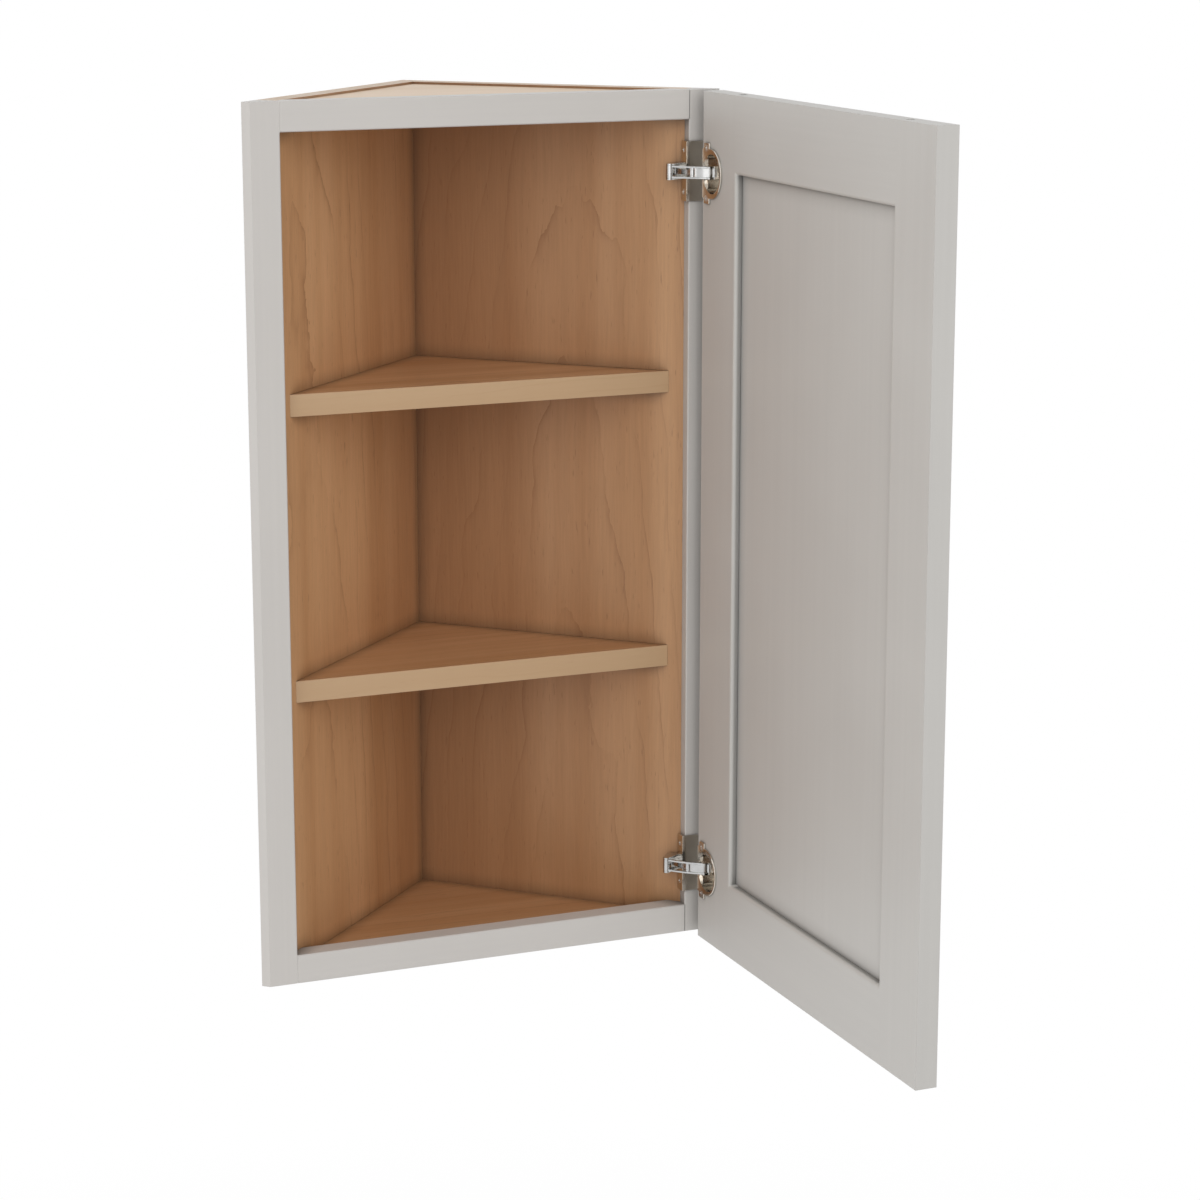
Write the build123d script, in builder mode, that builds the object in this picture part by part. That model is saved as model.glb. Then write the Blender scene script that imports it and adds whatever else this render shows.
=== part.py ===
from build123d import *
from math import atan2, degrees, hypot, sqrt
import os

os.makedirs("parts", exist_ok=True)

# A wall end cabinet: a right-angled carcass closed by a face frame across its corner, two fixed shelves
# and one recessed-panel door on two concealed hinges. The door stands open at a right angle to the frame.
# X runs along the face frame, the frame faces -Y, and Z is up from the underside.

# Carcass, in millimetres
height = 762.0
wall_width = 304.8
frame_return = 7.94
wall_thickness = 19.05
shelf_thickness = 19.05
deck_thickness = 12.7
top_set_down = 2.0
bottom_set_up = 2.8
lower_shelf_underside = 246.7
upper_shelf_underside = 496.0
shelf_set_back = 0.5
shelf_groove_depth = 4.8
groove_clearance = 0.15
deck_side_gap = 0.3

# Face frame
frame_thickness = 19.05
stile_width = 25.4
rail_height = 25.4
frame_edge_ease = 0.8
dowel_diameter = 5.0
dowel_length = 24.0
dowel_spacing = 11.0
dowel_clearance = 0.05
dowel_end_gap = 0.5
dowel_chamfer = 0.5

# Door
door_reveal = 0.8
door_thickness = 19.05
door_member_width = 66.7
door_inner_round = 3.2
door_front_ease = 0.8
door_panel_thickness = 6.35
door_groove_depth = 9.5
panel_groove_clearance = 0.1
panel_float = 1.2
tenon_end_gap = 0.5
tenon_shoulder = 6.0
closed_gap = 3.2
open_side_step = 6.4
open_front_step = 15.5

# Hinges: heights, the overlay they are made for, cup and flange
hinge_from_top = 70.0
hinge_overlay = 24.6
hinge_from_bottom = 65.0
cup_diameter = 35.0
cup_depth = 13.0
cup_wall = 0.6
cup_floor = 0.8
cup_edge_distance = 3.0
cup_bore_clearance = 0.1
flange_thickness = 1.6
flange_radius = 21.5
flange_centre = 17.5
flange_edge_inset = 1.5
ear_centre = 10.0
ear_width = 10.5
ear_half_height = 26.3
ear_screw_height = 21.8
ear_corner = 1.5
flange_edge_ease = 0.4
link_notch_reach = 4.6
link_notch_depth = 4.5
link_notch_gap = 0.3
boss_near = 4.2
boss_far = 10.0
boss_outer_half = 12.5
boss_side_gap = 0.3

# Hinges: pins, links, arm and frame wing
cup_pin_radius = 0.85
arm_pin_radius = 1.25
pin_clearance = 0.04
cup_pin_edge_distance = 7.0
short_pin_depth = 7.4
long_pin_depth = 2.4
short_link_length = 19.5
long_link_length = 36.0
link_width = 2.2
link_eye_radius = 2.3
layer_gap = 0.1
lug_half = 2.3
cheek_thickness = 1.4
lug_radius = 3.0
lug_clearance = 0.4
barrel_radius = 3.0
short_link_bow = 3.1
long_link_bow = 1.7
fork_half_width = 1.9
fork_slot_half_width = 1.3
fork_slot_back = 2.85
fork_tip = 1.0
fork_shift = 0.35
cup_pin_half = 9.0
pin_end_gap = 0.3
lug_side_gap = 0.2
lug_root_width = 6.6
lug_neck_width = 4.8
arm_half = 7.0
arm_eye_radius = 3.0
arm_core_width = 7.6
arm_core_front = 6.8
arm_core_back = 15.0
arm_wall_clearance = 1.2
wing_thickness = 3.0
wing_tab_thickness = 1.0
wing_tab_reach = 13.6
wing_half_height = 26.0
wing_side_gap = 0.2
wing_corner = 2.0
rivet_radius = 1.1
rivet_edge = 0.4
rivet_height = 4.5
rivet_length = 7.0
rivet_end_gap = 0.3
adjusting_head_radius = 4.2
adjusting_head_height = 3.2
adjusting_head_ease = 0.5
adjusting_shank_radius = 2.0
adjusting_shank_length = 6.0
wood_screw_head_radius = 3.2
wood_screw_shank_radius = 1.6
wood_screw_length = 15.0
wood_screw_point = 3.0
wood_screw_tip_radius = 0.3
screw_clearance = 0.05
wing_screw_height = 18.0

# Plan geometry, worked out from the sizes above. A plan point is (across, out): across runs along the frame's
# front from its left edge, and out is the distance in front of that face.
half_root = sqrt(2) / 2
return_step = frame_return * half_root
wall_step = wall_thickness * half_root
frame_width = (wall_width - frame_return) * sqrt(2)
back_depth = frame_width / 2 + 2 * return_step
stile_side_depth = stile_width + 2 * return_step - 2 * wall_step
wall_line = 2 * wall_step - 2 * return_step
opening_right = frame_width - stile_width
door_width = frame_width - 2 * door_reveal
open_back = opening_right + open_side_step
cup_radius = cup_diameter / 2
cup_centre = cup_edge_distance + cup_radius
cavity_radius = cup_radius - cup_wall
short_half = lug_half + layer_gap + cheek_thickness
long_half = short_half + layer_gap + cheek_thickness
boss_inner_half = long_half + boss_side_gap
screw_hole_radius = wood_screw_shank_radius + screw_clearance
screw_seat_radius = wood_screw_head_radius + screw_clearance
TOP_ALIGNED = (Align.CENTER, Align.CENTER, Align.MAX)

# The hinge line is on the door's hinge edge where the door overlaps the frame as far as the hinges are
# made for. On a wider stile the door's edge lies beyond it, and the cups sit further in.
hinge_inset = stile_width - door_reveal - hinge_overlay
closed_line = opening_right + hinge_overlay
open_edge = open_front_step - hinge_inset
frame_y = (open_edge + door_width - back_depth) / 2


def plan(across, out):
    """Model x and y of a plan point."""
    return (across - frame_width / 2, frame_y - out)


def mirrored(points):
    """The same plan points on the other side of the cabinet's middle."""
    return [(frame_width - across, out) for across, out in points]


def open_hinge(depth, inset):
    """Plan point of a place on the open door, from its back face and the hinge line."""
    return (open_back + depth, open_front_step + inset)


def closed_hinge(depth, inset):
    """Plan point of the same place on the door when it is closed."""
    return (closed_line - inset, closed_gap + depth)


def frame_pivot(depth, inset, length):
    """Plan point on the frame that a link of this length joins to the cup pin, both open and closed."""
    open_pin, closed_pin = open_hinge(depth, inset), closed_hinge(depth, inset)
    run = (closed_pin[0] - open_pin[0], closed_pin[1] - open_pin[1])
    chord = hypot(*run)
    reach = sqrt(length**2 - (chord / 2) ** 2)
    middle = ((open_pin[0] + closed_pin[0]) / 2, (open_pin[1] + closed_pin[1]) / 2)
    return (middle[0] + run[1] / chord * reach, middle[1] - run[0] / chord * reach)


def link_turn(pivot, depth, inset):
    """Degrees that a link turns from open to closed, seen in plan with out pointing up."""
    open_pin, closed_pin = open_hinge(depth, inset), closed_hinge(depth, inset)
    start = atan2(open_pin[1] - pivot[1], open_pin[0] - pivot[0])
    end = atan2(closed_pin[1] - pivot[1], closed_pin[0] - pivot[0])
    return degrees(end - start)


def bay_outline(front, into_wall):
    """Corners of a board that fills the carcass behind a line, let into both walls by a distance."""
    line = wall_line - into_wall * sqrt(2)
    left = line + front
    corners = [(left, -front), (frame_width - left, -front), (frame_width / 2, line - frame_width / 2)]
    return plan_points(corners)


def plan_points(points):
    """Model x and y of several plan points."""
    return [plan(*point) for point in points]


def level(z):
    """Horizontal plane at a height."""
    return Plane.XY.offset(z)


def door_back_plane(z, out=0.0):
    """Plane on the open door's back face, with x running from the hinge line and y up."""
    x, y = plan(open_back - out, open_front_step)
    return Plane(origin=(x, y, z), x_dir=(0, -1, 0), z_dir=(-1, 0, 0))


def link_plane(pivot, pin, z):
    """Horizontal plane with its origin at a pivot and x towards a pin."""
    (x, y), (pin_x, pin_y) = plan(*pivot), plan(*pin)
    return Plane(origin=(x, y, z), x_dir=(pin_x - x, pin_y - y, 0), z_dir=(0, 0, 1))


def save(piece, name):
    piece.part.label = name
    export_step(piece.part, f"parts/{name}.step")


# Heights
top_underside = height - top_set_down - deck_thickness
shelf_undersides = {"lower_shelf": lower_shelf_underside, "upper_shelf": upper_shelf_underside}
shelf_front = frame_thickness + shelf_set_back
hinge_heights = {"upper": height - hinge_from_top, "lower": hinge_from_bottom}
rail_floors = {"frame_top_rail": height - rail_height, "frame_bottom_rail": 0.0}
dowel_heights = [floor + rail_height / 2 + side * dowel_spacing / 2
                 for floor in rail_floors.values() for side in (-1, 1)]

# Corners of the two walls in plan
stile_back_inner = (stile_width, -stile_side_depth)
stile_back_outer = (stile_width - wall_step, -stile_side_depth - wall_step)
outer_corner = (frame_width / 2, -back_depth)
joint_corner = (frame_width / 2 + wall_step, -back_depth + wall_step)
inner_corner = (frame_width / 2, -back_depth + 2 * wall_step)

# Side panel on the left, which runs through to the back corner, and back panel on the right, which
# butts on it
wall_outlines = {
    "side_panel": [stile_back_outer, stile_back_inner, joint_corner, outer_corner],
    "back_panel": mirrored([stile_back_outer, stile_back_inner]) + [inner_corner, joint_corner],
}
for name, corners in wall_outlines.items():
    with BuildPart() as wall:
        with BuildSketch(level(0)):
            Polygon(*plan_points(corners), align=None)
        extrude(amount=height)
        for underside in shelf_undersides.values():
            with BuildSketch(level(underside)):
                Polygon(*bay_outline(shelf_front - groove_clearance, shelf_groove_depth), align=None)
            extrude(amount=shelf_thickness + groove_clearance, mode=Mode.SUBTRACT)
    save(wall, name)

# Shelves, let into stopped grooves in both walls
for name, underside in shelf_undersides.items():
    with BuildPart() as shelf:
        with BuildSketch(level(underside)):
            Polygon(*bay_outline(shelf_front, shelf_groove_depth - groove_clearance), align=None)
        extrude(amount=shelf_thickness)
    save(shelf, name)

# Top and bottom panels, between the walls and behind the face frame
for name, underside in {"top_panel": top_underside, "bottom_panel": bottom_set_up}.items():
    with BuildPart() as deck:
        with BuildSketch(level(underside)):
            Polygon(*bay_outline(frame_thickness, -deck_side_gap), align=None)
        extrude(amount=deck_thickness)
    save(deck, name)

# Face frame stiles: the outer edge returns at 45 degrees to the wall, and the back is cut square to it
stile_outline = [(0, 0), (stile_width, 0), stile_back_inner, stile_back_outer, (-return_step, -return_step)]
stile_outlines = {"frame_left_stile": stile_outline, "frame_right_stile": mirrored(stile_outline)}
for name, corners in stile_outlines.items():
    inner_edge = stile_width if name == "frame_left_stile" else opening_right
    into_stile = -1 if name == "frame_left_stile" else 1
    x, y = plan(inner_edge, -stile_side_depth / 2)
    with BuildPart() as stile:
        with BuildSketch(level(0)):
            Polygon(*plan_points(corners), align=None)
        extrude(amount=height)
        front_arris = stile.edges().filter_by(Axis.Z).sort_by_distance(plan(inner_edge, 0) + (height / 2,))[0]
        chamfer(front_arris, frame_edge_ease)
        with BuildSketch(Plane(origin=(x, y, 0), x_dir=(0, 1, 0), z_dir=(into_stile, 0, 0))):
            with Locations(*[(0, into_stile * z) for z in dowel_heights]):
                Circle(dowel_diameter / 2 + dowel_clearance)
        extrude(amount=dowel_length / 2 + dowel_end_gap, mode=Mode.SUBTRACT)
        if name == "frame_right_stile":
            screw_holes = [(0, z + side * wing_screw_height)
                           for z in hinge_heights.values() for side in (-1, 1)]
            with BuildSketch(Plane(origin=(x, y, 0), x_dir=(0, 1, 0), z_dir=(1, 0, 0))):
                with Locations(*screw_holes):
                    Circle(screw_hole_radius)
            extrude(amount=wood_screw_length, mode=Mode.SUBTRACT)
    save(stile, name)


# Face frame rails: square to the stiles at the front, mitred at the back where the walls pass
rail_outline = [
    (stile_width, 0),
    (opening_right, 0),
    (opening_right, -stile_side_depth),
    (frame_width - wall_line - frame_thickness, -frame_thickness),
    (wall_line + frame_thickness, -frame_thickness),
    stile_back_inner,
]
for name, floor in rail_floors.items():
    opening_edge = floor if name == "frame_top_rail" else floor + rail_height
    x, y = plan(stile_width, -stile_side_depth / 2)
    with BuildPart() as rail:
        with BuildSketch(level(floor)):
            Polygon(*plan_points(rail_outline), align=None)
        extrude(amount=rail_height)
        front_arris = rail.edges().filter_by(Axis.X).sort_by_distance((0, plan(0, 0)[1], opening_edge))[0]
        chamfer(front_arris, frame_edge_ease)
        for end_x, into_rail in ((x, 1), (-x, -1)):
            end_middle = (end_x, y, floor + rail_height / 2)
            with BuildSketch(Plane(origin=end_middle, x_dir=(0, 1, 0), z_dir=(into_rail, 0, 0))):
                with Locations((0, dowel_spacing / 2), (0, -dowel_spacing / 2)):
                    Circle(dowel_diameter / 2 + dowel_clearance)
            extrude(amount=dowel_length / 2 + dowel_end_gap, mode=Mode.SUBTRACT)
    save(rail, name)

# Dowels of the face frame joints, two to a corner
with BuildPart() as frame_dowels:
    for joint in (stile_width, opening_right):
        x, y = plan(joint, -stile_side_depth / 2)
        with BuildSketch(Plane(origin=(x - dowel_length / 2, y, 0), x_dir=(0, 1, 0), z_dir=(1, 0, 0))):
            with Locations(*[(0, z) for z in dowel_heights]):
                Circle(dowel_diameter / 2)
        extrude(amount=dowel_length)
    chamfer(frame_dowels.edges().filter_by(GeomType.CIRCLE), dowel_chamfer)
save(frame_dowels, "frame_dowels")

# Door frame: every member has a groove in its inner edge for the flat panel, a rounded inner edge at the
# back and an eased one at the front. Rails are coped over the stiles' rounding and held by stub tenons in
# the stiles' grooves.
groove_width = door_panel_thickness + 2 * panel_groove_clearance
groove_floor = door_member_width - door_groove_depth


def door_place(depth, inset, z):
    """Model point from the open door's back face, hinge edge and foot."""
    return (*plan(open_back + depth, open_edge + inset), z)


def member_section():
    """Section of a door member: x from outer to inner edge, y from the door's back to its front."""
    with BuildSketch(mode=Mode.PRIVATE) as section:
        Rectangle(door_member_width, door_thickness, align=Align.MIN)
        inner = section.vertices().sort_by(Axis.X)[-2:].sort_by(Axis.Y)
        fillet(inner[0], door_inner_round)
        chamfer(section.vertices().sort_by_distance((door_member_width, door_thickness))[0], door_front_ease)
        with Locations((groove_floor, door_thickness / 2)):
            Rectangle(door_groove_depth, groove_width, align=(Align.MIN, Align.CENTER), mode=Mode.SUBTRACT)
    return section.sketch


section = member_section()
door_stiles = {}
for name, inset, facing in (("door_hinge_stile", 0.0, -1), ("door_lock_stile", door_width, 1)):
    # the section's x runs into the door and its y from back to front
    base = Plane(origin=door_place(0, inset, 0), x_dir=(0, facing, 0), z_dir=(0, 0, -facing))
    with BuildPart() as door_stile:
        with BuildSketch(base):
            add(section)
        extrude(amount=-facing * height)
        if name == "door_hinge_stile":
            for z in hinge_heights.values():
                with BuildSketch(door_back_plane(z)):
                    with Locations((cup_centre, 0)):
                        Circle(cup_radius + cup_bore_clearance)
                extrude(amount=-(cup_depth + cup_bore_clearance), mode=Mode.SUBTRACT)
                with BuildSketch(door_back_plane(z)):
                    with Locations((ear_centre, ear_screw_height), (ear_centre, -ear_screw_height)):
                        Circle(screw_hole_radius)
                extrude(amount=-wood_screw_length, mode=Mode.SUBTRACT)
    door_stiles[name] = door_stile.part
    save(door_stile, name)

for name, foot, facing in (("door_bottom_rail", 0.0, 1), ("door_top_rail", height, -1)):
    rail_start = door_member_width - door_inner_round
    base = Plane(origin=door_place(0, rail_start, foot), x_dir=(0, 0, facing), z_dir=(0, facing, 0))
    with BuildPart() as door_rail:
        with BuildSketch(base):
            add(section)
        extrude(amount=-facing * (door_width - 2 * rail_start))
        for door_stile_solid in door_stiles.values():
            add(door_stile_solid, mode=Mode.SUBTRACT)
        with BuildSketch(base.offset(facing * (rail_start - groove_floor - tenon_end_gap))):
            with Locations((tenon_shoulder, door_thickness / 2)):
                Rectangle(groove_floor - tenon_shoulder, door_panel_thickness,
                          align=(Align.MIN, Align.CENTER))
        extrude(amount=-facing * (door_width - 2 * (groove_floor + tenon_end_gap)))
    save(door_rail, name)

# Flat door panel, floating in the grooves of the four members
panel_inset = groove_floor + panel_float
with BuildPart() as door_panel:
    back_face = (door_thickness - door_panel_thickness) / 2
    panel_corner = door_place(back_face, panel_inset, panel_inset)
    with BuildSketch(Plane(origin=panel_corner, x_dir=(0, -1, 0), z_dir=(-1, 0, 0))):
        Rectangle(door_width - 2 * panel_inset, height - 2 * panel_inset, align=Align.MIN)
    extrude(amount=-door_panel_thickness)
save(door_panel, "door_panel")


def countersunk_screws(plane, places):
    """Wood screws driven against a plane's normal, with their heads flush in it."""
    sink = wood_screw_head_radius - wood_screw_shank_radius
    shank = wood_screw_length - wood_screw_point
    with BuildPart() as screws:
        with Locations(plane):
            with Locations(*[(x, y, 0) for x, y in places]):
                Cone(wood_screw_shank_radius, wood_screw_head_radius, sink, align=TOP_ALIGNED)
                Cylinder(wood_screw_shank_radius, shank, align=TOP_ALIGNED)
            with Locations(*[(x, y, -shank) for x, y in places]):
                Cone(wood_screw_tip_radius, wood_screw_shank_radius, wood_screw_point, align=TOP_ALIGNED)
    return screws


# Hinges. In each, an arm riveted to a frame wing carries two links, and both run to pins in the cup that
# is let into the door. The layers, from the middle outwards, are: the arm's lug, the short link, the long
# link, the arm's cheeks.
short_pivot = frame_pivot(short_pin_depth, cup_pin_edge_distance, short_link_length)
long_pivot = frame_pivot(long_pin_depth, cup_pin_edge_distance, long_link_length)
short_pin = open_hinge(short_pin_depth, cup_pin_edge_distance)
long_pin = open_hinge(long_pin_depth, cup_pin_edge_distance)
wing_left = opening_right - wing_thickness
wing_back = -(stile_side_depth - wing_side_gap)
core_left = wing_left - arm_core_width
core_front = -arm_core_front
core_back = -arm_core_back
lug_right = wing_left - lug_side_gap
lug_neck = wing_tab_thickness + lug_clearance
lug_head_outline = [(lug_right - lug_neck_width, lug_neck), (lug_right, lug_neck), short_pivot]
lug_root_outline = [
    (lug_right - lug_root_width, core_front),
    (lug_right, core_front),
    (lug_right, lug_neck),
    (lug_right - lug_neck_width, lug_neck),
]
fork_slot_run = fork_slot_back - fork_slot_half_width
core_corners = [
    (wing_left, core_front),
    (wing_left, core_back),
    (core_left, core_back),
    (core_left, core_front),
]
with BuildSketch(mode=Mode.PRIVATE) as arm_core:
    Polygon(*plan_points(core_corners), align=None)
    Polygon(*bay_outline(arm_core_front, -arm_wall_clearance), align=None, mode=Mode.INTERSECT)
wing_screw_places = [(0, wing_screw_height), (0, -wing_screw_height)]
ear_screw_places = [(ear_centre, ear_screw_height), (ear_centre, -ear_screw_height)]
rivet_places = [(0, rivet_height), (0, -rivet_height)]

for place, z in hinge_heights.items():
    flange_face = door_back_plane(z, flange_thickness)

    # Cup with its D-shaped flange, two screw ears, and bosses that hold the cup pins
    with BuildPart() as cup:
        with BuildSketch(door_back_plane(z)):
            with Locations((flange_centre, 0)):
                Circle(flange_radius)
                Rectangle(flange_centre - flange_edge_inset, 2 * flange_radius,
                          align=(Align.MAX, Align.CENTER))
            with Locations((flange_edge_inset, 0)):
                Rectangle(2 * flange_radius + flange_centre, 2 * flange_radius,
                          align=(Align.MIN, Align.CENTER), mode=Mode.INTERSECT)
            with Locations((ear_centre, 0)):
                RectangleRounded(ear_width, 2 * ear_half_height, ear_corner)
        extrude(amount=flange_thickness)
        chamfer(cup.faces().sort_by(Axis.X)[0].outer_wire().edges(), flange_edge_ease)
        with BuildSketch(door_back_plane(z)):
            with Locations((cup_centre, 0)):
                Circle(cup_radius)
        extrude(amount=-cup_depth)
        with BuildSketch(flange_face):
            with Locations((cup_centre, 0)):
                Circle(cavity_radius)
        extrude(amount=cup_floor - cup_depth - flange_thickness, mode=Mode.SUBTRACT)
        with BuildSketch(flange_face):
            Rectangle(link_notch_reach, 2 * (long_half + link_notch_gap), align=(Align.MIN, Align.CENTER))
        extrude(amount=-flange_thickness - link_notch_depth, mode=Mode.SUBTRACT)
        with BuildSketch(door_back_plane(z)):
            for side in (-1, 1):
                with Locations(((boss_near + boss_far) / 2, side * (boss_inner_half + boss_outer_half) / 2)):
                    Rectangle(boss_far - boss_near, boss_outer_half - boss_inner_half)
            with Locations((cup_centre, 0)):
                Circle((cup_radius + cavity_radius) / 2, mode=Mode.INTERSECT)
        extrude(amount=-cup_depth + cup_floor / 2)
        with Locations(flange_face):
            with Locations(*ear_screw_places):
                CounterSinkHole(screw_hole_radius, screw_seat_radius, counter_sink_angle=90)
        with BuildSketch(level(z - cup_pin_half - pin_end_gap)):
            with Locations(plan(*short_pin), plan(*long_pin)):
                Circle(cup_pin_radius + pin_clearance)
        extrude(amount=2 * (cup_pin_half + pin_end_gap), mode=Mode.SUBTRACT)
    save(cup, f"{place}_hinge_cup")
    save(countersunk_screws(flange_face, ear_screw_places), f"{place}_hinge_cup_screws")

    # Cup pins: one right across for the short link, and a stub on each side for the long link's forked cheeks
    with BuildPart() as cup_pins:
        with BuildSketch(level(z - cup_pin_half)):
            with Locations(plan(*short_pin)):
                Circle(cup_pin_radius)
        extrude(amount=2 * cup_pin_half)
        for side in (-1, 1):
            with BuildSketch(level(z + side * (short_half + 2 * layer_gap))):
                with Locations(plan(*long_pin)):
                    Circle(cup_pin_radius)
            extrude(amount=side * (cup_pin_half - short_half - 2 * layer_gap))
    save(cup_pins, f"{place}_hinge_cup_pins")

    # Frame wing: a leg on the stile's inner side and a tab wrapped round onto its front
    with BuildPart() as wing:
        with BuildSketch(level(z - wing_half_height)):
            Polygon(*plan_points([
                (wing_left, wing_back),
                (wing_left, wing_tab_thickness),
                (opening_right + wing_tab_reach, wing_tab_thickness),
                (opening_right + wing_tab_reach, 0),
                (opening_right, 0),
                (opening_right, wing_back),
            ]), align=None)
        extrude(amount=2 * wing_half_height)
        fillet(wing.edges().filter_by(Axis.Y).group_by(Axis.X)[-1], wing_corner)
        leg_middle = (*plan(wing_left, -stile_side_depth / 2), z)
        leg_face = Plane(origin=leg_middle, x_dir=(0, -1, 0), z_dir=(-1, 0, 0))
        with Locations(leg_face):
            with Locations(*wing_screw_places):
                CounterSinkHole(screw_hole_radius, screw_seat_radius, counter_sink_angle=90)
        rivet_plane = Plane(origin=(*plan(opening_right, wing_back + rivet_radius + rivet_edge), z),
                            x_dir=(0, -1, 0), z_dir=(-1, 0, 0))
        with BuildSketch(rivet_plane):
            with Locations(*rivet_places):
                Circle(rivet_radius + screw_clearance)
        extrude(amount=wing_thickness, mode=Mode.SUBTRACT)
    save(wing, f"{place}_hinge_frame_wing")
    save(countersunk_screws(leg_face, wing_screw_places), f"{place}_hinge_wing_screws")

    # Arm: a solid core on the wing, two cheeks out to the long link's pin and a thin lug out to the short
    # link's pin
    with BuildPart() as arm:
        with BuildSketch(level(z - arm_half)):
            add(arm_core.sketch)
        extrude(amount=2 * arm_half)
        for side in (-1, 1):
            with BuildSketch(level(z + side * (long_half + layer_gap))):
                with Locations(plan(*long_pivot)):
                    Circle(arm_eye_radius)
                add(arm_core.sketch)
                make_hull()
            extrude(amount=side * (arm_half - long_half - layer_gap))
        with BuildSketch(level(z - lug_half)):
            Polygon(*plan_points(lug_head_outline), align=None)
            with Locations(plan(*short_pivot)):
                Circle(lug_radius)
            make_hull()
            Polygon(*plan_points(lug_root_outline), align=None)
        extrude(amount=2 * lug_half)
        with BuildSketch(level(z - arm_half)):
            with Locations(plan(*long_pivot), plan(*short_pivot)):
                Circle(arm_pin_radius + pin_clearance)
        extrude(amount=2 * arm_half, mode=Mode.SUBTRACT)
        with BuildSketch(rivet_plane):
            with Locations(*rivet_places):
                Circle(rivet_radius + screw_clearance)
        extrude(amount=rivet_length, mode=Mode.SUBTRACT)
        screw_plane = Plane(origin=(*plan(core_left, (core_front + core_back) / 2), z),
                            x_dir=(0, -1, 0), z_dir=(-1, 0, 0))
        with BuildSketch(screw_plane):
            Circle(adjusting_shank_radius + screw_clearance)
        extrude(amount=-adjusting_shank_length, mode=Mode.SUBTRACT)
    save(arm, f"{place}_hinge_arm")

    # Rivets that hold the arm to the wing, and the adjusting screw in the arm's core
    with BuildPart() as arm_rivets:
        with BuildSketch(rivet_plane.offset(rivet_end_gap)):
            with Locations(*rivet_places):
                Circle(rivet_radius)
        extrude(amount=rivet_length - 2 * rivet_end_gap)
    save(arm_rivets, f"{place}_hinge_arm_rivets")
    with BuildPart(screw_plane) as adjusting_screw:
        Cylinder(adjusting_head_radius, adjusting_head_height, align=(Align.CENTER, Align.CENTER, Align.MIN))
        chamfer(adjusting_screw.edges().filter_by(GeomType.CIRCLE).sort_by(Axis.X)[0], adjusting_head_ease)
        Cylinder(adjusting_shank_radius, adjusting_shank_length - rivet_end_gap, align=TOP_ALIGNED)
    save(adjusting_screw, f"{place}_hinge_adjusting_screw")

    # Arm pins
    with BuildPart() as arm_pins:
        for pivot, half in ((long_pivot, arm_half), (short_pivot, short_half)):
            with BuildSketch(level(z - half)):
                with Locations(plan(*pivot)):
                    Circle(arm_pin_radius)
            extrude(amount=2 * half)
    save(arm_pins, f"{place}_hinge_arm_pins")

    # Short link: a block at the cup end, split at the arm end to straddle the lug
    with BuildPart() as short_link:
        short_base = link_plane(short_pivot, short_pin, z)
        with BuildSketch(short_base.offset(-short_half)):
            with BuildLine(mode=Mode.PRIVATE) as short_bow:
                ThreePointArc((0, 0), (short_link_length / 2, -short_link_bow), (short_link_length, 0))
            SlotArc(short_bow.edges()[0], link_width)
            Circle(lug_radius)
            with Locations((short_link_length, 0)):
                Circle(link_eye_radius)
        extrude(amount=2 * short_half)
        with BuildSketch(short_base.offset(-lug_half - layer_gap)):
            Circle(lug_radius + lug_clearance)
            with Locations((0, 0)):
                Rectangle(2 * lug_radius, 2 * lug_radius, align=(Align.MAX, Align.CENTER))
        extrude(amount=2 * (lug_half + layer_gap), mode=Mode.SUBTRACT)
        with BuildSketch(short_base.offset(-short_half)):
            Circle(arm_pin_radius + pin_clearance)
            with Locations((short_link_length, 0)):
                Circle(cup_pin_radius + pin_clearance)
        extrude(amount=2 * short_half, mode=Mode.SUBTRACT)
    save(short_link, f"{place}_hinge_short_link")

    # Long link: a barrel on the arm pin and two bowed cheeks, forked at the cup end round the stub pins
    with BuildPart() as long_link:
        long_base = link_plane(long_pivot, long_pin, z)
        with BuildSketch(long_base.offset(-long_half)):
            Circle(barrel_radius)
        extrude(amount=2 * long_half)
        for side in (-1, 1):
            with BuildSketch(long_base.offset(side * (short_half + layer_gap))):
                with BuildLine(mode=Mode.PRIVATE) as long_bow:
                    ThreePointArc((0, 0), (long_link_length / 2, -long_link_bow), (long_link_length, 0))
                SlotArc(long_bow.edges()[0], link_width)
                with Locations((long_link_length - fork_slot_run / 2, fork_shift)):
                    SlotCenterToCenter(fork_slot_run, 2 * fork_half_width)
                with Locations((long_link_length - fork_slot_run, fork_shift)):
                    Circle(fork_slot_half_width, mode=Mode.SUBTRACT)
                    Rectangle(fork_slot_run + fork_half_width, 2 * fork_slot_half_width,
                              align=(Align.MIN, Align.CENTER), mode=Mode.SUBTRACT)
                with Locations((long_link_length + fork_tip, fork_shift)):
                    Rectangle(fork_half_width, 2 * fork_half_width,
                              align=(Align.MIN, Align.CENTER), mode=Mode.SUBTRACT)
            extrude(amount=side * cheek_thickness)
        with BuildSketch(long_base.offset(-long_half)):
            Circle(arm_pin_radius + pin_clearance)
        extrude(amount=2 * long_half, mode=Mode.SUBTRACT)
    save(long_link, f"{place}_hinge_long_link")

print("face frame", round(frame_width, 2), "wide; origin", round(frame_y, 3), "behind its front face")
short_turn = link_turn(short_pivot, short_pin_depth, cup_pin_edge_distance)
long_turn = link_turn(long_pivot, long_pin_depth, cup_pin_edge_distance)
print("short link pivot", plan(*short_pivot), "turn", short_turn)
print("long link pivot", plan(*long_pivot), "turn", long_turn)
print("cup pins", plan(*short_pin), plan(*long_pin))
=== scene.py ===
from math import pi, radians, sqrt

import bmesh
import bpy
from bpy.props import FloatProperty, FloatVectorProperty, IntProperty, PointerProperty
from mathutils import Matrix, Vector


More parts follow.
